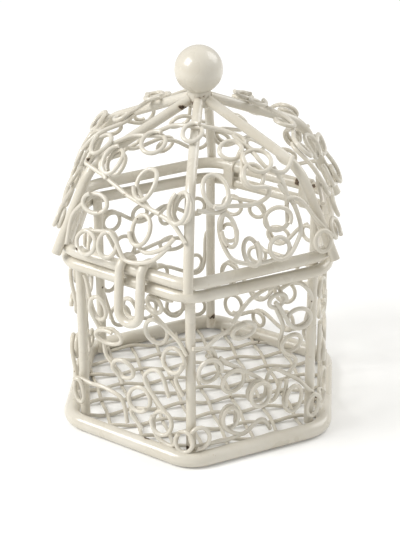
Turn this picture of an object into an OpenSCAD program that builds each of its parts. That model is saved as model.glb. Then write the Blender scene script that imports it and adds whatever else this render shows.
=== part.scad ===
// Hexagonal wire birdcage favour box: a six-barred cage on a round-rod base
// ring with a woven wire floor, a domed six-ribbed lid hung on two sheet
// straps, a swinging wire latch, and curled wire filigree on every face.
// Millimetres, +Z up, the base standing on z = 0, the latch face at -Y.

/* [Cage] */
// Distance from the middle of the cage to each upright bar
bar_circle = 33.5; // [30:0.5:40]
// Diameter of the upright bars and of the lid ribs
bar_d = 2.5; // [2.2:0.1:2.8]
// Height of the middle of the body ring
body_ring_z = 47.1; // [42:0.1:56]
// Diameter of the wire of the body ring and the lid ring
ring_d = 3.0; // [2.8:0.1:3.2]
// Diameter of the rod of the base ring
base_d = 4.0; // [3.6:0.1:4.6]
// Radius of the bent corners of the rings
corner_r = 8; // [6:0.5:10]

/* [Lid] */
// Air between the lid ring and the body ring at the latch
ring_gap = 0.4; // [0.35:0.05:0.8]
// Angle by which the lid sits up at the hinge side
lid_tilt = 1.0; // [0:0.1:1.2]
// Height of the point where the ribs would meet, over the lid ring
dome_h = 34.2; // [30:0.5:38]
// Lean of the lower part of each rib from upright
rib_lean = 25.6; // [24:0.2:28]
// Slope of the upper part of each rib from level
rib_slope = 24; // [22:0.5:26]
// Bend radius of the rib shoulder
shoulder_r = 14; // [8:1:16]
// Diameter of the finial ball
ball_d = 12; // [10:0.5:14]

/* [Filigree] */
// Diameter of the curled wire
scroll_d = 1.1; // [0.9:0.1:1.2]
// Step outward of one turn of a curl, so that it clears itself
turn_step = 1.4; // [1.3:0.05:1.6]

/* [Floor] */
// Spacing of the floor wires
mesh_pitch = 6.8; // [5:0.1:9]
// Diameter of the floor wires
mesh_d = 1.0; // [0.8:0.1:1.2]
// Turn of the weave from the latch face
mesh_turn = 48; // [0:1:90]

/* [Latch] */
// Diameter of the latch wire
latch_d = 2.3; // [2:0.1:2.4]
// Distance between the two legs of the latch
latch_w = 6.3; // [5:0.1:7]
// Sideways place of the left leg on the latch face
latch_x = 0.4; // [-1:0.1:1]
// Drop from the lid ring to the middle of the latch bend
latch_drop = 13; // [11:0.5:15]
// Outward lean of the latch at rest
latch_lean = 5; // [5:0.5:7]

/* [Hinge] */
// Width of the sheet straps
strap_w = 2.8; // [2:0.1:3.4]
// Thickness of the strap sheet
strap_t = 0.5; // [0.4:0.05:0.6]
// Place of the straps to each side of the middle
strap_x = 12; // [8:0.5:12.4]
// Running clearance round the wire in a strap or a latch eye
running = 0.06; // [0.03:0.01:0.1]

/* [Hidden] */
$fn = 48;

bar_r = bar_d / 2;
ring_r = ring_d / 2;
base_r = base_d / 2;
scroll_r = scroll_d / 2;
mesh_r = mesh_d / 2;
latch_r = latch_d / 2;
// flat left under the base ring where it is dressed to stand level
base_sink = 0.1;
base_z = base_r - base_sink;
// the rings pass just outside the bars at the corners
ring_a = corner_r + (bar_circle + bar_r + ring_r - corner_r) * cos(30);
base_a = corner_r + (bar_circle + bar_r + base_r - corner_r) * cos(30);
// wire drawn a hair thinner in its bends, which run this far into the straights
bend_thin = 0.02;
lap = 0.2;
floor_z = 1.0;
bar_bottom = floor_z + mesh_d + 0.05;
bar_top = body_ring_z + ring_r - 0.3;
lid_z = body_ring_z + ring_d + ring_gap;
hinge_z = lid_z + 2 * ring_a * sin(lid_tilt);
hinge_y = -ring_a + 2 * ring_a * cos(lid_tilt);
// profile of a rib: a leaning lower length, a bent shoulder, a sloping top
rib_foot = bar_circle + bar_r + ring_r + (bar_r + ring_r) / cos(rib_lean);
rib_drop = 1.0;
knee_r = (rib_foot - tan(rib_lean) * dome_h) / (1 - tan(rib_lean) * tan(rib_slope));
knee_z = dome_h - tan(rib_slope) * knee_r;
shoulder_turn = 90 - rib_lean - rib_slope;
shoulder_cut = shoulder_r * tan(shoulder_turn / 2);
lower_len = norm([rib_foot - knee_r, knee_z]) - shoulder_cut;
arc_len = shoulder_r * shoulder_turn * PI / 180;
hub_r = 2.9;
ball_z = dome_h + 0.3 + ball_d / 2;

// ---------------------------------------------------------------- shared
// A six-sided loop with bent corners. The first child is the section of its
// wire along the sides, the second one its section in the bends.
module hex_loop(a) {
  reach = (a - corner_r) / cos(30);
  for (k = [0:5]) {
    rotate([0, 0, 60 * k])
      translate([reach, 0, 0])
        rotate([0, 0, -30])
          rotate_extrude(angle = 60)
            translate([corner_r, 0])
              children(1);
    rotate([0, 0, 60 * k + 30])
      translate([a, 0, 0])
        rotate([90, 0, 0])
          linear_extrude(height = reach + 2 * lap, center = true)
            children(0);
  }
}

// Puts a lid piece, drawn from the middle of the lid ring, in its place.
module on_lid() {
  translate([0, -ring_a, lid_z])
    rotate([lid_tilt, 0, 0])
      translate([0, ring_a, 0])
        children();
}

// Turns a piece drawn on the latch face round to face number k.
module on_face(k) {
  rotate([0, 0, 60 * k])
    children();
}

// A round wire along a path; the wire never runs along the facing direction.
module bent_wire(path, r, sides, facing) {
  n = len(path);
  points = [for (i = [0:n - 1])
    let (ahead = path[min(i + 1, n - 1)] - path[max(i - 1, 0)])
    let (along = ahead / norm(ahead))
    let (side = cross(along, facing))
    let (across = side / norm(side))
    let (out = cross(across, along))
    for (j = [0:sides - 1])
      path[i] + r * (cos(360 * j / sides) * across + sin(360 * j / sides) * out)];
  first = [[for (j = [0:sides - 1]) j]];
  last = [[for (j = [sides - 1:-1:0]) (n - 1) * sides + j]];
  skin = [for (i = [0:n - 2]) for (j = [0:sides - 1])
    let (a = i * sides + j)
    let (b = i * sides + (j + 1) % sides)
    for (tri = [[a, a + sides, b + sides], [a, b + sides, b]]) tri];
  polyhedron(points, concat(first, skin, last), convexity = 10);
}

// ---------------------------------------------------------------- filigree
// A curl is [sideways, along, half width, half height, turning way, turns].
// The wire meets each curl heading for it and leaves heading for the next. It
// climbs outward as it turns, and from its free end in the first curl inward.
function heading(list, i) =
  let (j = max(0, min(i, len(list) - 2)))
  atan2(list[j + 1][1] - list[j][1], list[j + 1][0] - list[j][0]);
function wrap(a) = a < -120 ? wrap(a + 360) : a >= 240 ? wrap(a - 360) : a;
function sweep(list, i) =
  360 * list[i][5] + wrap(list[i][4] * (heading(list, i) - heading(list, i - 1)));
function on_curl(list, i, u) =
  let (c = list[i])
  let (a = heading(list, i - 1) - 90 * c[4] + c[4] * sweep(list, i) * u)
  let (v = max(0, min(1, ((i == 0 ? 1 - u : u) - 0.25) / 0.5)))
  [c[0] + c[2] * cos(a), c[1] + c[3] * sin(a), turn_step * c[5] * v * v * (3 - 2 * v)];
function curl_run(list, i) =
  let (n = ceil(sweep(list, i) / 42))
  [for (k = [0:n]) on_curl(list, i, k / n)];
function link(p, q, da, db, u) =
  let (m = norm(q - p) * 0.9)
  let (va = m * [cos(da), sin(da), 0])
  let (vb = m * [cos(db), sin(db), 0])
  (2 * pow(u, 3) - 3 * pow(u, 2) + 1) * p + (pow(u, 3) - 2 * pow(u, 2) + u) * va
  + (3 * pow(u, 2) - 2 * pow(u, 3)) * q + (pow(u, 3) - pow(u, 2)) * vb;
function link_run(list, i) =
  let (p = on_curl(list, i, 1))
  let (q = on_curl(list, i + 1, 0))
  let (n = norm(q - p) > 7 ? 3 : norm(q - p) > 3 ? 2 : 1)
  [for (k = [1:n]) link(p, q, heading(list, i), heading(list, i), k / (n + 1))];
function scroll_run(list) =
  [for (i = [0:len(list) - 1])
    each concat(curl_run(list, i), i < len(list) - 1 ? link_run(list, i) : [])];

// curls of the cage faces, two handmade patterns used by turns
BODY_A = [[-13.5, 39.5, 2.3, 2.3, 1, 1], [-4.5, 38.5, 2.3, 2.6, -1, 1],
  [3.5, 40.5, 2.4, 2.2, 1, 1], [12, 40, 2.6, 2.6, -1, 1],
  [8.2, 31.5, 2.8, 3.0, -1, 1], [-6, 29.5, 3.4, 1.8, 1, 1],
  [-13.2, 21.5, 2.4, 2.6, 1, 1], [-2.2, 20.5, 2.7, 2.7, -1, 1],
  [13, 22, 2.4, 3.0, -1, 1], [10, 10.5, 2.7, 2.8, -1, 1],
  [1.5, 10.5, 2.9, 3.0, 1, 1], [-7, 9.5, 2.3, 3.0, -1, 1],
  [-14, 7.5, 2.2, 2.4, 1, 1]];
BODY_B = [[-13.5, 38.5, 2.3, 2.3, -1, 1], [-4, 35.5, 3.0, 2.4, 1, 1],
  [3, 41, 2.1, 2.1, -1, 1], [11, 40.5, 2.7, 2.6, -1, 1],
  [12, 32, 2.6, 2.3, -1, 1], [3, 27.5, 2.4, 2.4, 1, 1],
  [-12.6, 26, 2.8, 3.2, 1, 1], [-6.3, 18.5, 2.9, 3.0, -1, 1],
  [2, 17, 3.0, 3.0, 1, 1], [12, 19.5, 2.4, 3.0, -1, 1],
  [11, 9.5, 2.4, 3.0, -1, 1], [2.5, 7.5, 2.2, 2.2, 1, 1],
  [-7, 9.5, 2.3, 2.7, -1, 1], [-14.2, 7.5, 2.1, 2.3, 1, 1]];
// curls of the lid faces
LID_A = [[-15.9, 5.5, 2.5, 2.4, 1, 1], [-5.5, 6.5, 2.5, 2.4, -1, 1],
  [4.5, 11, 2.5, 2.8, 1, 1], [15.8, 6, 2.4, 2.4, 1, 1],
  [11.5, 17, 2.5, 2.6, 1, 1], [2.8, 20.5, 2.5, 3.0, -1, 1],
  [-8.8, 14.5, 3.0, 2.4, -1, 1], [-8, 24.5, 2.3, 2.4, -1, 1],
  [1, 30, 2.3, 2.6, 1, 1], [5.6, 38.5, 2.0, 2.2, 1, 1]];
LID_B = [[-15.9, 5.5, 2.4, 2.2, -1, 1], [-4.5, 6, 2.5, 2.5, 1, 1],
  [5, 7.5, 2.4, 2.4, -1, 1], [16, 7, 2.2, 2.4, 1, 1],
  [8, 15.5, 2.4, 2.4, -1, 1], [-8, 14, 2.0, 2.8, -1, 1],
  [-9.5, 23.5, 2.1, 2.6, -1, 1], [1.5, 23, 3.1, 2.8, 1, 1],
  [-0.5, 32.5, 2.4, 2.6, 1, 1], [-5, 41, 1.6, 1.8, -1, 1]];

// the curls are laid out for a cage of 33.5 and 47.1 and a dome of 34.2
face_wide = bar_circle / 33.5;
face_high = body_ring_z / 47.1;
dome_high = (dome_h + bar_circle) / (34.2 + 33.5);

// the cage faces lie against the bars
function cage_point(p) =
  [p[0] * face_wide, -(bar_circle * cos(30) + bar_r + scroll_r + p[2]), p[1] * face_high];

// rib profile at a distance along it: [out, up, heading from upright]
function rib_at(t) =
  let (bend = max(0, min(1, (t - lower_len) / arc_len)))
  let (a = rib_lean + shoulder_turn * bend)
  let (start = [rib_foot - sin(rib_lean) * lower_len, cos(rib_lean) * lower_len])
  let (hub = start - shoulder_r * [cos(rib_lean), sin(rib_lean)])
  t <= lower_len
    ? [rib_foot - sin(rib_lean) * t, cos(rib_lean) * t, a]
    : let (e = hub + shoulder_r * [cos(a), sin(a)])
      let (rest = max(0, t - lower_len - arc_len))
      [e[0] - sin(a) * rest, e[1] + cos(a) * rest, a];

// the lid faces lie against the ribs, bent over the shoulder like them
function lid_point(p) =
  let (e = rib_at(p[1] * dome_high))
  let (nx = cos(e[2]))
  let (nz = cos(30) * sin(e[2]))
  let (h = (bar_r + scroll_r + p[2]) / norm([nx, nz]))
  [p[0] * face_wide, -(e[0] * cos(30) + nx * h), e[1] + nz * h];

// Filigree of one cage face: one length of wire, curled and welded on.
module body_scroll(k, curls) {
  color("ivory")
    on_face(k)
      bent_wire([for (p = scroll_run(curls)) cage_point(p)], scroll_r, 5, [0, -1, 0]);
}

// Filigree of one lid face.
module lid_scroll(k, curls) {
  color("ivory")
    on_lid()
      on_face(k)
        bent_wire([for (p = scroll_run(curls)) lid_point(p)], scroll_r, 5, [0, -0.6, 0.8]);
}

// ---------------------------------------------------------------- cage
// Section of the base rod, flat underneath.
module base_section(thin) {
  intersection() {
    circle(r = base_r - thin);
    translate([-base_d, thin - base_z])
      square([2 * base_d, base_z + base_d]);
  }
}

// Thick rod bent to a hexagon, dressed flat underneath.
module base_ring() {
  color("ivory")
    translate([0, 0, base_z])
      hex_loop(base_a) {
        base_section(0);
        base_section(bend_thin);
      }
}

// Wires of one direction of the plain-woven floor, cut to the base ring.
module floor_wires(turn, phase) {
  count = floor((base_a - base_r) / mesh_pitch);
  edge = base_a - sqrt(pow(base_r, 2) - pow(base_z - floor_z, 2)) - 0.02;
  for (i = [-count:count]) {
    y = i * mesh_pitch;
    // distance to the ring both ways along the wire
    ends = [for (way = [0, 180])
      min([for (f = [0:5])
        let (a = 60 * f + 30 - turn - way)
        if (cos(a) > 0.05) (edge - (way == 0 ? 1 : -1) * y * sin(a)) / cos(a)])];
    low = -ends[1];
    high = ends[0];
    first = ceil(low / mesh_pitch);
    final = floor(high / mesh_pitch);
    bend = [for (j = [first:final])
      [j * mesh_pitch, y, (mesh_r + 0.01) * ((i + j) % 2 == 0 ? 1 : -1) * phase]];
    path = concat([[low, y, 0]], bend, [[high, y, 0]]);
    translate([0, 0, floor_z])
      rotate([0, 0, turn])
        bent_wire(path, mesh_r, 6, [0, 0, 1]);
  }
}

module floor_warp() {
  color("ivory")
    floor_wires(mesh_turn, 1);
}

module floor_weft() {
  color("ivory")
    floor_wires(mesh_turn + 90, -1);
}

// Upright bar k, standing inside both rings at a corner.
module bar(k) {
  color("ivory")
    rotate([0, 0, 60 * k - 120])
      translate([bar_circle, 0, bar_bottom])
        cylinder(h = bar_top - bar_bottom, r = bar_r);
}

module body_ring() {
  color("ivory")
    translate([0, 0, body_ring_z])
      hex_loop(ring_a) {
        circle(r = ring_r);
        circle(r = ring_r - bend_thin);
      }
}

// ---------------------------------------------------------------- hinge
// Sheet strap folded round both rings; the lid ring turns in its upper end.
module hinge_strap(side) {
  rise = hinge_z - body_ring_z;
  color("ivory")
    translate([side * strap_x, ring_a, body_ring_z])
      rotate([0, 0, 90])
        rotate([90, 0, 0])
          linear_extrude(height = strap_w, center = true)
            difference() {
              union() {
                circle(r = ring_r + running + strap_t);
                translate([hinge_y - ring_a, rise])
                  circle(r = ring_r + running + strap_t);
                translate([-ring_r - running - strap_t, 0])
                  square([ring_d + 2 * running + 2 * strap_t, rise]);
              }
              circle(r = ring_r);
              translate([hinge_y - ring_a, rise])
                circle(r = ring_r + running);
              translate([-ring_r + 0.2, 0])
                square([ring_d - 0.4, rise - 1]);
            }
}

// ---------------------------------------------------------------- lid
module lid_ring() {
  color("ivory")
    on_lid()
      hex_loop(ring_a) {
        circle(r = ring_r);
        circle(r = ring_r - bend_thin);
      }
}

// Rib k: foot outside a corner of the lid ring, bent in over the shoulder.
module rib(k) {
  start = rib_at(lower_len);
  top = rib_at(lower_len + arc_len);
  upper_len = (top[0] - hub_r + 0.2) / cos(rib_slope);
  color("ivory")
    on_lid()
      rotate([0, 0, 60 * k - 120])
        translate([start[0] - shoulder_r * cos(rib_lean), 0, start[1] - shoulder_r * sin(rib_lean)])
          rotate([90, 0, 0])
            rotate([0, 0, rib_lean]) {
              translate([shoulder_r, 0, 0])
                rotate([90, 0, 0])
                  cylinder(h = lower_len + rib_drop, r = bar_r);
              difference() {
                rotate_extrude(angle = shoulder_turn + 8)
                  translate([shoulder_r, 0])
                    circle(r = bar_r);
                rotate([0, 0, shoulder_turn])
                  translate([0, 0, -bar_d])
                    cube([2 * shoulder_r, 2 * shoulder_r, 2 * bar_d]);
              }
              rotate([0, 0, shoulder_turn])
                translate([shoulder_r, 0, 0])
                  rotate([-90, 0, 0])
                    cylinder(h = upper_len, r = bar_r);
            }
}

// Short slug that the ribs are welded to, cupped for the ball.
module apex_hub() {
  color("ivory")
    on_lid()
      difference() {
        translate([0, 0, dome_h - 2.9])
          cylinder(h = 5.2, r = hub_r);
        translate([0, 0, ball_z])
          sphere(r = ball_d / 2);
      }
}

module finial_ball() {
  color("ivory")
    on_lid()
      translate([0, 0, ball_z])
        sphere(r = ball_d / 2);
}

// ---------------------------------------------------------------- latch
// U of wire hung by two open eyes on the lid ring, over the body ring.
module latch_hook() {
  eye_r = ring_r + running + latch_r;
  leg = latch_drop - latch_w / 2;
  color("ivory")
    translate([latch_x + latch_w / 2, -ring_a, lid_z])
      rotate([-latch_lean, 0, 0]) {
        for (side = [-1, 1]) {
          translate([side * latch_w / 2, 0, 0]) {
            rotate([90, 0, 90])
              rotate([0, 0, 20])
                rotate_extrude(angle = 160)
                  translate([eye_r, 0])
                    circle(r = latch_r - bend_thin);
            translate([0, -eye_r, -leg - lap])
              cylinder(h = leg + 2 * lap, r = latch_r);
          }
        }
        translate([0, -eye_r, -leg])
          rotate([90, 0, 0])
            rotate([0, 0, 180])
              rotate_extrude(angle = 180)
                translate([latch_w / 2, 0])
                  circle(r = latch_r - bend_thin);
      }
}

// ---------------------------------------------------------------- assembly
base_ring();
floor_warp();
floor_weft();
bar(1);  // bar_1
bar(2);  // bar_2
bar(3);  // bar_3
bar(4);  // bar_4
bar(5);  // bar_5
bar(6);  // bar_6
body_ring();
body_scroll(0, BODY_A);  // body_scroll_1
body_scroll(1, BODY_B);  // body_scroll_2
body_scroll(2, BODY_A);  // body_scroll_3
body_scroll(3, BODY_B);  // body_scroll_4
body_scroll(4, BODY_A);  // body_scroll_5
body_scroll(5, BODY_B);  // body_scroll_6
hinge_strap(-1);  // hinge_strap_1
hinge_strap(1);  // hinge_strap_2
lid_ring();
rib(1);  // rib_1
rib(2);  // rib_2
rib(3);  // rib_3
rib(4);  // rib_4
rib(5);  // rib_5
rib(6);  // rib_6
lid_scroll(0, LID_A);  // lid_scroll_1
lid_scroll(1, LID_B);  // lid_scroll_2
lid_scroll(2, LID_A);  // lid_scroll_3
lid_scroll(3, LID_B);  // lid_scroll_4
lid_scroll(4, LID_A);  // lid_scroll_5
lid_scroll(5, LID_B);  // lid_scroll_6
apex_hub();
finial_ball();
latch_hook();
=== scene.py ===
"""Hexagonal wire birdcage favour box, painted ivory.

A cage of round wire stands on a thick base rod with a woven wire floor. A
domed lid hangs on two sheet straps, and every face carries curled filigree.
Metres, in the frame of the CAD model: +Z up, the latch face at -Y.
"""

import math

import bpy
from mathutils import Matrix, Vector


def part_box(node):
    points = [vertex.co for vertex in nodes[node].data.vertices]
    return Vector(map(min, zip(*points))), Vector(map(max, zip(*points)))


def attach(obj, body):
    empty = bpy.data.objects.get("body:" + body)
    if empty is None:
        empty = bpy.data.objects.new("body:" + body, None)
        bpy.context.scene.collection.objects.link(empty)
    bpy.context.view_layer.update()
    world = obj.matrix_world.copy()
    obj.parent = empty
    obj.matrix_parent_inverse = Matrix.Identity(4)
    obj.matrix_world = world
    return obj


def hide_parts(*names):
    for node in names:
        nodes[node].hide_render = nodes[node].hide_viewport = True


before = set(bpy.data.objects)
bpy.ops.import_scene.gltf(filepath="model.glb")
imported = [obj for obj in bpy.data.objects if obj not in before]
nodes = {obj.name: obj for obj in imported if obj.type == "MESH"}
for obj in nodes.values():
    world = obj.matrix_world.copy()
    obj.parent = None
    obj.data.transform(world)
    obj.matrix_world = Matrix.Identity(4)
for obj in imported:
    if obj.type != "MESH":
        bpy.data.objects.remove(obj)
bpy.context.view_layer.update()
mm = 0.001


# ---------------------------------------------------------------- paint
# Every wire is steel with one coat of glossy ivory enamel, which pools in the bends and is chipped down to
# dark metal here and there. The same dark metal is also laid on as painted shade in spots at the bar feet,
# the apex, the rear of the lid ring and inside tight curls.
class Val:
    """A number socket that builds Math nodes when it is calculated with."""

    def __init__(self, tree, socket):
        self.tree = tree
        self.socket = socket

    def _math(self, kind, *values):
        node = self.tree.new("ShaderNodeMath")
        node.operation = kind
        for socket, value in zip(node.inputs, values):
            if isinstance(value, Val):
                self.tree.graph.links.new(value.socket, socket)
            else:
                socket.default_value = value
        return Val(self.tree, node.outputs[0])

    def __add__(self, other):
        return self._math("ADD", self, other)

    __radd__ = __add__

    def __mul__(self, other):
        return self._math("MULTIPLY", self, other)

    __rmul__ = __mul__

    def __sub__(self, other):
        return self._math("SUBTRACT", self, other)

    def __rsub__(self, other):
        return self._math("SUBTRACT", other, self)

    def above(self, edge, width):
        """0 below edge, 1 above edge + width, with a soft step between."""
        ramp = self._math("MULTIPLY", self - edge, 1 / width)
        return ramp._math("MINIMUM", ramp._math("MAXIMUM", ramp, 0.0), 1.0)


class Tree:
    """The node tree of one material."""

    def __init__(self, name):
        self.material = bpy.data.materials.new(name)
        self.material.use_nodes = True
        self.graph = self.material.node_tree
        self.graph.nodes.clear()

    def new(self, kind):
        return self.graph.nodes.new(kind)

    def add(self, kind, settings=None, **sockets):
        """A node of that kind: its settings first, then its sockets."""
        node = self.new(kind)
        for key, value in (settings or {}).items():
            setattr(node, key, value)
        for key, value in sockets.items():
            socket = node.inputs[key.replace("_", " ")]
            if isinstance(value, Val):
                self.graph.links.new(value.socket, socket)
            elif hasattr(value, "is_output"):
                self.graph.links.new(value, socket)
            else:
                socket.default_value = value
        return node

    def val(self, node, output=0):
        return Val(self, node.outputs[output])

    def mix(self, factor, one, other):
        """Colour one where factor is 0 and colour other where it is 1."""
        node = self.new("ShaderNodeMix")
        node.data_type = "RGBA"
        for index, value in ((0, factor), (6, one), (7, other)):
            if isinstance(value, Val):
                self.graph.links.new(value.socket, node.inputs[index])
            elif hasattr(value, "is_output"):
                self.graph.links.new(value, node.inputs[index])
            else:
                node.inputs[index].default_value = value
        return node.outputs[2]


def ivory_paint(name, chip_edge, dirt, shade_spots=()):
    """Glossy ivory enamel. A lower chip_edge bares more metal in random chips. Each shade spot, given by
    its place and its width in millimetres, paints a dark metal patch with a brown halo as painted shade."""
    tree = Tree(name)
    place = tree.add("ShaderNodeTexCoord").outputs["Object"]
    cloud = tree.val(tree.add("ShaderNodeTexNoise", Vector=place, Scale=95.0, Detail=3.0))
    fine = tree.val(tree.add("ShaderNodeTexNoise", Vector=place, Scale=900.0, Detail=4.0))
    spots = tree.val(tree.add("ShaderNodeTexNoise", Vector=place, Scale=330.0, Detail=5.0))
    drips = tree.val(tree.add("ShaderNodeTexNoise", Vector=place, Scale=260.0, Detail=2.0))
    # random chips of bared metal; the loop below adds the painted shade spots to the same mask
    chip_and_shade = (spots + fine * 0.12).above(chip_edge, 0.012)
    stain_and_shade_rim = (spots + fine * 0.12).above(chip_edge - 0.03, 0.03)
    # each shade spot is painted shade: a dark patch with a brown halo where shade falls, drawn like a chip
    for x, y, z, width in shade_spots:
        gap = tree.new("ShaderNodeVectorMath")
        gap.operation = "DISTANCE"
        tree.graph.links.new(place, gap.inputs[0])
        gap.inputs[1].default_value = (x * mm, y * mm, z * mm)
        far = Val(tree, gap.outputs["Value"]) * 1000
        shade_spot = (spots * 3.2 - 1.2 - far * (1 / width)).above(0.0, 0.15)
        chip_and_shade = (chip_and_shade + shade_spot).above(0.0, 1.0)
        stain_and_shade_rim = (stain_and_shade_rim + (spots * 3.2 - 0.9 - far * (1 / width)).above(0.0, 0.4)).above(0.0, 1.0)
    enamel = tree.mix(cloud.above(0.38, 0.25), (0.64, 0.597, 0.505, 1), (0.695, 0.66, 0.58, 1))
    tinted = tree.mix(fine.above(0.55, 0.25) * dirt, enamel, (0.66, 0.60, 0.48, 1))
    # brown halo: rust stain round the random chips, painted shade round the shade spots
    stained_and_shaded = tree.mix(stain_and_shade_rim * 0.5, tinted, (0.50, 0.40, 0.27, 1))
    # dark metal colour: bare metal in the random chips, painted shade in the shade spots
    metal_and_shade_colour = tree.mix(fine.above(0.45, 0.1), (0.045, 0.032, 0.024, 1), (0.14, 0.10, 0.07, 1))
    colour = tree.mix(chip_and_shade, stained_and_shaded, metal_and_shade_colour)
    bump = tree.add(
        "ShaderNodeBump",
        Strength=0.35,
        Distance=0.00012,
        Height=drips * 0.8 + fine * 0.12 - chip_and_shade * 0.6,
    )
    skin = tree.add(
        "ShaderNodeBsdfPrincipled",
        Base_Color=colour,
        Roughness=cloud * 0.16 + 0.20 + chip_and_shade * 0.35,
        Metallic=chip_and_shade * 0.7,
        Normal=bump.outputs[0],
        Coat_Weight=0.35 - chip_and_shade * 0.35,
    )
    skin.inputs["Coat Roughness"].default_value = 0.08
    out = tree.add("ShaderNodeOutputMaterial")
    tree.graph.links.new(skin.outputs[0], out.inputs["Surface"])
    return tree.material


def dress(piece, material):
    """Gives a piece its one coat of paint."""
    piece.data.materials.clear()
    piece.data.materials.append(material)


# painted shade spots on the rods, drawn as dark metal patches: feet of the bars, the apex, the rear of the
# lid ring
ROD_SHADE_SPOTS = [
    (16.2, -30.4, 3.6, 2.4), (5.5, -31.6, 3.6, 2.2), (0.6, -2.6, 84, 2.6),
    (14.5, 31, 52.9, 1.8), (9.6, 31, 52.9, 1.6), (31.6, -1.4, 9.5, 1.6),
    (-2.2, -5.4, 82.5, 1.5), (7.5, 1.2, 82, 1.6), (-16, 29, 4.4, 2.2),
]
# painted shade spots on the curled wire, drawn as dark metal patches: inside its tighter curls and at its
# welds
WIRE_SHADE_SPOTS = [
    (-9.5, -36, 54.2, 1.8), (15.1, -29.5, 67.5, 1.7), (-12, -36, 53.4, 1.4),
    (2.6, -31, 10.4, 1.5), (28, -12, 8.0, 1.6), (-14.5, -27, 73, 1.5),
]
rod_paint = ivory_paint("ivory enamel on the rods", 0.80, 0.35, ROD_SHADE_SPOTS)
wire_paint = ivory_paint("ivory enamel on the curled wire", 0.79, 0.45, WIRE_SHADE_SPOTS)
# the lower chip edge spreads dark metal spots over the apex hub: painted shade under the ball finial and
# between the rib ends
apex_shade_paint = ivory_paint("ivory enamel with painted shade at the apex", 0.66, 0.6)


# ---------------------------------------------------------------- frame rods
# The rods, rims, ribs and straps keep their CAD shape: straight drawn wire and
# plain bends, resistance welded and then dipped in the enamel.
for name, node in nodes.items():
    dress(node, apex_shade_paint if name == "apex_hub" else rod_paint)

base_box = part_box("base_ring")
rim_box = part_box("body_ring")
post_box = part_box("bar_2")
bar_circle = (post_box[0][0] + post_box[1][0]) / 2
bar_r = (post_box[1][0] - post_box[0][0]) / 2


# ---------------------------------------------------------------- floor
# The floor is a plain weave of thin round wire, laid askew to the cage and
# cropped where it is welded inside the base rod. The dip has half filled it.
def wire_mesh(name, runs, radius, sides):
    """One mesh of round wires with closed ends, each along a list of points."""
    curve = bpy.data.curves.new(name, "CURVE")
    curve.dimensions = "3D"
    curve.bevel_depth = radius
    curve.bevel_resolution = (sides - 4) // 2
    curve.use_fill_caps = True
    for run in runs:
        spline = curve.splines.new("POLY")
        spline.points.add(len(run) - 1)
        for point, place in zip(spline.points, run):
            point.co = (*place, 1)
    piece = bpy.data.objects.new(name, curve)
    bpy.context.collection.objects.link(piece)
    bpy.ops.object.select_all(action="DESELECT")
    piece.select_set(True)
    bpy.context.view_layer.objects.active = piece
    bpy.ops.object.convert(target="MESH")
    piece = bpy.context.object
    bpy.ops.object.mode_set(mode="EDIT")
    bpy.ops.mesh.select_all(action="SELECT")
    bpy.ops.mesh.remove_doubles(threshold=0.000001)
    bpy.ops.mesh.normals_make_consistent(inside=False)
    bpy.ops.object.mode_set(mode="OBJECT")
    bpy.ops.object.shade_smooth_by_angle(angle=math.radians(50))
    return piece


mesh_pitch = 6.8 * mm
mesh_r = 0.5 * mm
mesh_turn = math.radians(48)
floor_z = 1.0 * mm
rod_cover = 3.6 * mm
floor_edge = base_box[1][1] - rod_cover


def floor_runs(turn, phase):
    """Wires of one direction, waving over and under those of the other."""
    runs = []
    count = int(floor_edge / mesh_pitch)
    for i in range(-count, count + 1):
        y = i * mesh_pitch
        ends = []
        for way in (1, -1):
            reach = []
            for face in range(6):
                a = math.radians(60 * face + 30) - turn
                if math.cos(a) * way > 0.05:
                    reach.append((floor_edge - y * math.sin(a)) / (math.cos(a) * way))
            ends.append(min(reach) * way)
        high, low = ends
        steps = int((high - low) / (mesh_pitch / 8))
        run = []
        for k in range(steps + 1):
            x = low + (high - low) * k / steps
            wave = math.cos(math.pi * (x / mesh_pitch + i)) * phase
            z = floor_z + mesh_r * wave
            c, t = math.cos(turn), math.sin(turn)
            run.append((c * x - t * y, t * x + c * y, z))
        runs.append(run)
    return runs


floor_paint = ivory_paint("ivory enamel on the floor wire", 0.80, 0.75)
for name, turn, phase in (("floor_warp", 0, 1), ("floor_weft", math.pi / 2, -1)):
    wires = wire_mesh("woven_" + name, floor_runs(mesh_turn + turn, phase), mesh_r, 8)
    dress(wires, floor_paint)
    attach(wires, "cage")
    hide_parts(name)


# ---------------------------------------------------------------- cage filigree
# Each cage face carries lengths of thin soft wire, curled by hand round a peg
# and spot welded to the outside of the bars and to one another.
# A curl is (sideways, up, half width, half height, turning way, turns) in
# millimetres; a pair of numbers is only a point that the wire passes.
def curl_at(chain, i, u):
    """Point u of the way round curl i: sideways, along, out."""
    s, t = chain[i][:2]
    if len(chain[i]) == 2:
        return Vector((s, t, 0))
    half_s, half_t, way, turns = chain[i][2:]
    arrive, leave = heading(chain, i - 1), heading(chain, i)
    turn = (way * (leave - arrive) + 120) % 360 - 120
    a = math.radians(arrive - 90 * way + way * (360 * turns + turn) * u)
    v = max(0, min(1, ((1 - u if i == 0 else u) - 0.25) / 0.5))
    shrink = 1 - 0.12 * (turns - 1) * (1 - u)
    rise = 1.2 * turns * v * v * (3 - 2 * v)
    return Vector((s + half_s * shrink * math.cos(a), t + half_t * shrink * math.sin(a), rise))


def heading(chain, i):
    """Direction in degrees from curl i to the next."""
    j = max(0, min(i, len(chain) - 2))
    return math.degrees(math.atan2(chain[j + 1][1] - chain[j][1], chain[j + 1][0] - chain[j][0]))


def way_through(chain, i):
    """Direction of the wire where it leaves curl i or passes point i."""
    if len(chain[i]) == 2 and 0 < i < len(chain) - 1:
        a, b = math.radians(heading(chain, i - 1)), math.radians(heading(chain, i))
        return Vector((math.cos(a) + math.cos(b), math.sin(a) + math.sin(b), 0)).normalized()
    a = math.radians(heading(chain, i))
    return Vector((math.cos(a), math.sin(a), 0))


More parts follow.
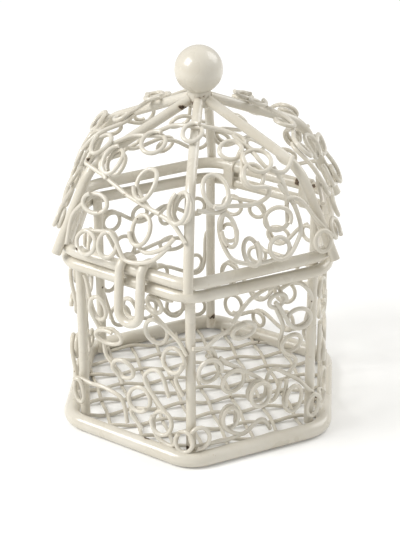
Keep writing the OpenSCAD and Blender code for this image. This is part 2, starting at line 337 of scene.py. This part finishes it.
def chain_run(chain):
    """Points along a whole wire: its curls and the easy bends between them."""
    run = []
    for i, curl in enumerate(chain):
        steps = 1 if len(curl) == 2 else int(26 * curl[5])
        run += [curl_at(chain, i, k / steps) for k in range(steps + (len(curl) > 2))]
        if i < len(chain) - 1:
            p, q = curl_at(chain, i, 1), curl_at(chain, i + 1, 0)
            last = way_through(chain, i)
            ahead = way_through(chain, i + 1) if len(chain[i + 1]) == 2 else last
            if len(curl) > 2:
                a = math.radians(heading(chain, i))
                last = Vector((math.cos(a), math.sin(a), 0))
            pull = (q - p).length * 0.9
            for k in range(1, 9):
                u = k / 9
                run.append(
                    p * (2 * u**3 - 3 * u**2 + 1)
                    + last * pull * (u**3 - 2 * u**2 + u)
                    + q * (3 * u**2 - 2 * u**3)
                    + ahead * pull * (u**3 - u**2)
                )
    return run


scroll_r = 0.55 * mm
cage_plane = bar_circle * math.cos(math.radians(30)) + bar_r + scroll_r


cage_lift = 0.35


def cage_runs(chains, face):
    """Wires of one cage face, turned round to it, in metres. Wires that are
    laid on later stand a little further out."""
    turn = Matrix.Rotation(math.radians(60 * face), 3, "Z")
    runs = []
    for layer, chain in enumerate(chains):
        lift = cage_lift * (layer % 3)
        runs.append([
            turn @ Vector((p.x * mm, -cage_plane - (p.z + lift) * mm, p.y * mm))
            for p in chain_run(chain)
        ])
    return runs


CAGE_FACES = {
    1: [
        [(0.5, 38.8, 2.6, 2.8, 1, 1), (5.2, 40.2), (8.3, 34.9, 2.9, 3.4, -1, 1), (13.5, 34.5), (17, 30.5)],
        [(8.1, 42.4, 2.5, 2.2, -1, 1), (13, 44.6)],
        [(-13.5, 44.5), (-8.9, 36.5, 2.2, 3.4, 1, 1), (-9.5, 31), (-6, 29.3, 3.6, 2.0, -1, 1)],
        [(-8.6, 27), (-7.5, 22.5), (-2.2, 21, 2.9, 2.8, 1, 1), (-3, 16.5)],
        [(13.5, 28.5, 3.0, 3.1, -1, 1), (13.8, 22.5), (16, 19)],
        [(12, 17.5), (8.5, 24), (4.5, 21), (8, 15.5), (11, 12.5)],
        [(2.6, 13.8, 3.0, 3.2, -1, 1), (-0.5, 9), (2.8, 5)],
        [(-1.5, 5.5), (-3.2, 12), (-6.6, 13.2), (-11.5, 13.4), (-16.4, 10.5, 1.9, 3.6, 1, 1)],
        [(10, 9.7, 2.8, 3.1, 1, 1), (7.5, 5.6), (12.5, 3.6), (16.8, 6.5, 2.2, 2.7, -1, 1)],
    ],
    2: [
        [(-17, 32.5), (-11.5, 30.5), (-12.7, 25.6, 3.0, 3.3, -1, 1)],
        [(-13.5, 30), (-6.4, 21.4, 3.2, 3.2, -1, 1)],
        [(-10, 28.6), (0.3, 16.8, 2.9, 3.4, -1, 2), (4.6, 12.8), (7, 18)],
        [(-14, 31.6), (-8, 35), (-3.5, 34.6, 3.4, 1.9, -1, 1)],
        [(-6.5, 37.2), (-1, 43), (6, 44.2), (5.5, 41, 2.2, 2.1, -1, 1)],
        [(6.2, 43.8), (10.5, 45), (15.2, 39), (11.5, 35.0, 3.0, 2.6, -1, 1), (5, 40.5)],
        [(5.4, 39), (7.5, 34), (9.7, 28, 2.9, 2.6, 1, 1), (11.5, 22), (9.5, 19)],
        [(2.6, 17.5), (4.6, 21.5), (9, 19.2), (13.5, 15.4), (16.4, 8.6, 1.9, 3.4, -1, 1)],
        [(8.5, 18.4), (10.4, 12.2, 2.4, 4.0, 1, 1)],
        [(-5, 8.2), (-7.2, 10.8, 2.2, 3.2, 1, 1), (-3.6, 4.8), (2.2, 7.6), (4.6, 4.2)],
        [(-3.8, 5.0), (-9.5, 4.4), (-15.6, 7.4, 2.4, 2.8, -1, 1)],
    ],
}
PLAIN_CAGE = [
    [
        [(-13.5, 39.5, 2.3, 2.3, 1, 1), (-4.5, 38.5, 2.3, 2.6, -1, 1), (3.5, 40.5, 2.4, 2.2, 1, 1),
         (12, 40, 2.6, 2.6, -1, 1), (8.2, 31.5, 2.8, 3.0, -1, 1), (-6, 29.5, 3.4, 1.8, 1, 1)],
        [(-16.6, 31), (-13.2, 21.5, 2.4, 2.6, 1, 1), (-2.2, 20.5, 2.7, 2.7, -1, 1),
         (13, 22, 2.4, 3.0, -1, 1), (10, 10.5, 2.7, 2.8, -1, 1)],
        [(1.5, 10.5, 2.9, 3.0, 1, 1), (-7, 9.5, 2.3, 3.0, -1, 1), (-14, 7.5, 2.2, 2.4, 1, 1)],
    ],
    [
        [(-13.5, 38.5, 2.3, 2.3, -1, 1), (-4, 35.5, 3.0, 2.4, 1, 1), (3, 41, 2.1, 2.1, -1, 1),
         (11, 40.5, 2.7, 2.6, -1, 1), (12, 32, 2.6, 2.3, -1, 1)],
        [(3, 27.5, 2.4, 2.4, 1, 1), (-12.6, 26, 2.8, 3.2, 1, 1), (-6.3, 18.5, 2.9, 3.0, -1, 1),
         (2, 17, 3.0, 3.0, 1, 1), (12, 19.5, 2.4, 3.0, -1, 1), (16.5, 12)],
        [(11, 9.5, 2.4, 3.0, -1, 1), (2.5, 7.5, 2.2, 2.2, 1, 1), (-7, 9.5, 2.3, 2.7, -1, 1),
         (-14.2, 7.5, 2.1, 2.3, 1, 1)],
    ],
]
for number in range(1, 7):
    chains = CAGE_FACES.get(number, PLAIN_CAGE[(number + 1) % 2])
    name = "curled_wire_of_cage_face_%d" % number
    wires = wire_mesh(name, cage_runs(chains, number - 1), scroll_r, 10)
    dress(wires, wire_paint)
    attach(wires, "cage")
    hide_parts("body_scroll_%d" % number)


# ---------------------------------------------------------------- lid filigree
# The lid faces carry the same curled wire, bent in over the shoulder with the
# ribs. Distances along a lid face run up the ribs from the lid ring.
rib_lean, rib_slope = math.radians(25.6), math.radians(24)
dome_h, shoulder_r = 34.2, 14.0
rim_r = (rim_box[1][2] - rim_box[0][2]) / 2 / mm
post_r = bar_r / mm
rib_foot = bar_circle / mm + post_r + rim_r + (post_r + rim_r) / math.cos(rib_lean)
knee_out = (rib_foot - math.tan(rib_lean) * dome_h) / (1 - math.tan(rib_lean) * math.tan(rib_slope))
knee_up = dome_h - math.tan(rib_slope) * knee_out
shoulder_turn = math.pi / 2 - rib_lean - rib_slope
lower_len = math.hypot(rib_foot - knee_out, knee_up) - shoulder_r * math.tan(shoulder_turn / 2)
lid_front = rim_box[0][1] + rim_r * mm
ring_gap = 0.4
lid_low = rim_box[1][2] + (rim_r + ring_gap) * mm
lid_tilt = Matrix.Rotation(math.radians(1.0), 3, "X")


def rib_at(t):
    """Out, up and lean of the middle of a rib at a distance along it."""
    bend = max(0, min(1, (t - lower_len) / (shoulder_r * shoulder_turn)))
    a = rib_lean + shoulder_turn * bend
    straight = min(t, lower_len)
    out = rib_foot - math.sin(rib_lean) * straight
    up = math.cos(rib_lean) * straight
    if t > lower_len:
        rest = max(0, t - lower_len - shoulder_r * shoulder_turn)
        out += shoulder_r * (math.cos(a) - math.cos(rib_lean)) - math.sin(a) * rest
        up += shoulder_r * (math.sin(a) - math.sin(rib_lean)) + math.cos(a) * rest
    return out, up, a


lid_lift = 0.3


def lid_runs(chains, face):
    """Wires of one lid face, bent over the shoulder and put on the lid."""
    turn = Matrix.Rotation(math.radians(60 * face), 3, "Z")
    front = Vector((0, lid_front, lid_low))
    back = Vector((0, lid_front, 0))
    runs = []
    for layer, chain in enumerate(chains):
        run = []
        for p in chain_run(chain):
            out, up, a = rib_at(p.y)
            face_out, face_up = math.cos(a), math.cos(math.radians(30)) * math.sin(a)
            stand_off = post_r + scroll_r / mm + p.z + lid_lift * (layer % 3)
            h = stand_off / math.hypot(face_out, face_up)
            place = Vector((p.x, -(out * math.cos(math.radians(30)) + face_out * h), up + face_up * h))
            run.append(front + lid_tilt @ (turn @ (place * mm) - back))
        runs.append(run)
    return runs


LID_FACES = {
    1: [
        [(-15.6, 22.9), (-8, 20.8), (-1.2, 18.4), (6, 16.6), (13, 14.6), (17.4, 11)],
        [(9, 16.2), (5.2, 17.2), (3.4, 21.9, 2.7, 3.6, -1, 1)],
        [(-8, 20.6), (-11, 24), (-6.7, 24.5, 2.4, 3.0, -1, 2)],
        [(-12, 29), (-6.5, 34.5), (-0.8, 33.0, 2.8, 3.6, -1, 1)],
        [(-2.5, 36.6), (2.2, 41), (7.4, 39.2, 2.2, 3.0, -1, 1)],
        [(-15.2, 23.4), (-13.4, 28.4, 1.9, 3.4, -1, 1)],
        [(-16, 2.4), (-15.4, 11), (-9.6, 14.4, 3.2, 2.4, -1, 1)],
        [(-9.8, 4.4, 3.2, 3.0, -1, 1), (-3.5, 5.4, 2.3, 3.2, -1, 1), (2.6, 2.8), (9.4, 4.6), (13.6, 9.4)],
        [(5.2, 11.2, 2.7, 3.8, 1, 1), (6.4, 6.4), (12.2, 8.4), (14.6, 11.6)],
        [(12, 16), (15, 18.7, 2.5, 3.6, -1, 2)],
    ],
    2: [
        [(-5.0, 42), (0.5, 38.5), (3.6, 33.8), (-1.2, 31.4, 2.7, 2.8, -1, 1)],
        [(1.5, 36.4), (3.8, 30), (5.6, 24.6), (9.6, 22.8), (13.4, 26)],
        [(3.6, 26.6, 3.6, 3.2, 1, 1), (1.1, 23.0, 2.7, 2.5, 1, 1), (4.6, 19.4), (-2, 17.2),
         (-9.3, 21.7, 2.9, 3.6, -1, 1)],
        [(7.6, 24.5), (9, 17), (5.4, 12.4, 3.3, 2.8, -1, 1)],
        [(-14.6, 18.4), (-8.6, 17), (-5.5, 19.6)],
        [(-8.1, 12.2, 2.0, 4.0, 1, 1), (-8.6, 5.8), (-2.4, 2.8), (5, 3)],
        [(-2.8, 5.8, 1.9, 3.4, -1, 1), (0, 2.6), (4.6, 5.2, 2.9, 2.7, 1, 1), (10.6, 7),
         (10.8, 14), (7.6, 20.4)],
        [(16.2, 4.6, 2.3, 2.6, 1, 1), (14.6, 12), (11.4, 16.4), (8.6, 16.8)],
    ],
}
PLAIN_LID = [
    [
        [(-15.9, 5.5, 2.5, 2.4, 1, 1), (-5.5, 6.5, 2.5, 2.4, -1, 1), (4.5, 11, 2.5, 2.8, 1, 1),
         (15.8, 6, 2.4, 2.4, 1, 1), (11.5, 17, 2.5, 2.6, 1, 1), (2.8, 20.5, 2.5, 3.0, -1, 1)],
        [(-16.5, 13), (-8.8, 14.5, 3.0, 2.4, -1, 1), (-8, 24.5, 2.3, 2.4, -1, 1),
         (1, 30, 2.3, 2.6, 1, 1), (5.6, 38.5, 2.0, 2.2, 1, 1)],
    ],
    [
        [(-15.9, 5.5, 2.4, 2.2, -1, 1), (-4.5, 6, 2.5, 2.5, 1, 1), (5, 7.5, 2.4, 2.4, -1, 1),
         (16, 7, 2.2, 2.4, 1, 1), (8, 15.5, 2.4, 2.4, -1, 1)],
        [(-14.5, 20), (-8, 14, 2.0, 2.8, -1, 1), (-9.5, 23.5, 2.1, 2.6, -1, 1),
         (1.5, 23, 3.1, 2.8, 1, 1), (-0.5, 32.5, 2.4, 2.6, 1, 1), (-5, 41, 1.6, 1.8, -1, 1)],
    ],
]
for number in range(1, 7):
    chains = LID_FACES.get(number, PLAIN_LID[(number + 1) % 2])
    name = "curled_wire_of_lid_face_%d" % number
    wires = wire_mesh(name, lid_runs(chains, number - 1), scroll_r, 10)
    dress(wires, wire_paint)
    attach(wires, "lid")
    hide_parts("lid_scroll_%d" % number)


# ---------------------------------------------------------------- stage
# A white sweep, plain level light from all round and one soft lamp high on
# the left, and a long lens on the front corner.
def plain(name, colour, roughness):
    material = bpy.data.materials.new(name)
    material.use_nodes = True
    shader = material.node_tree.nodes["Principled BSDF"]
    shader.inputs["Base Color"].default_value = (*colour, 1)
    shader.inputs["Roughness"].default_value = roughness
    shader.inputs["Specular IOR Level"].default_value = 0.1
    return material


bpy.ops.object.select_all(action="DESELECT")
bpy.ops.mesh.primitive_plane_add(size=6, location=(0, 0, 0))
ground = bpy.context.object
ground.name = "white_table"
table = plain("white table", (0.9, 0.9, 0.89), 0.9)
glow = table.node_tree.nodes.new("ShaderNodeLightPath")
table_shader = table.node_tree.nodes["Principled BSDF"]
table_shader.inputs["Emission Color"].default_value = (1, 1, 1, 1)
lift = table.node_tree.nodes.new("ShaderNodeMath")
lift.operation = "MULTIPLY"
lift.inputs[1].default_value = 0.08
table.node_tree.links.new(glow.outputs["Is Camera Ray"], lift.inputs[0])
table.node_tree.links.new(lift.outputs[0], table_shader.inputs["Emission Strength"])
ground.data.materials.append(table)

world = bpy.data.worlds.new("light room")
bpy.context.scene.world = world
world.use_nodes = True
room = world.node_tree
sky = room.nodes["Background"]
sky.inputs["Color"].default_value = (1.0, 0.99, 0.965, 1)
sky.inputs["Strength"].default_value = 0.55
seen = room.nodes.new("ShaderNodeBackground")
seen.inputs["Color"].default_value = (1, 1, 1, 1)
ray = room.nodes.new("ShaderNodeLightPath")
either = room.nodes.new("ShaderNodeMixShader")
room.links.new(ray.outputs["Is Camera Ray"], either.inputs[0])
room.links.new(sky.outputs[0], either.inputs[1])
room.links.new(seen.outputs[0], either.inputs[2])
room.links.new(either.outputs[0], room.nodes["World Output"].inputs[0])


def lamp(name, place, aim, size, watts):
    light = bpy.data.lights.new(name, "AREA")
    light.size = size
    light.energy = watts
    holder = bpy.data.objects.new(name, light)
    bpy.context.collection.objects.link(holder)
    holder.location = place
    holder.rotation_euler = (Vector(aim) - Vector(place)).to_track_quat("-Z", "Y").to_euler()


lamp("window on the left", (-0.35, -0.45, 0.55), (0, 0, 0.05), 0.35, 4.5)
lamp("white card behind", (0.3, 0.5, 0.5), (0, 0, 0.05), 0.5, 2.5)

lens = bpy.data.cameras.new("long lens")
lens.sensor_fit = "HORIZONTAL"
lens.sensor_width = 36
lens.lens = 149.94
lens.clip_end = 20
eye = bpy.data.objects.new("long lens", lens)
bpy.context.collection.objects.link(eye)
right = Vector((0.8242, 0.5662, -0.0037))
up = Vector((-0.2461, 0.3641, 0.8982))
back = Vector((0.51, -0.7395, 0.4395))
turn = Matrix((right, up, back)).transposed()
eye.matrix_world = Matrix.Translation(Vector((220.2, -319.8, 227.3)) * mm) @ turn.to_4x4()
scene = bpy.context.scene
scene.camera = eye
scene.render.resolution_x = 400
scene.render.resolution_y = 534
scene.view_settings.view_transform = "Standard"
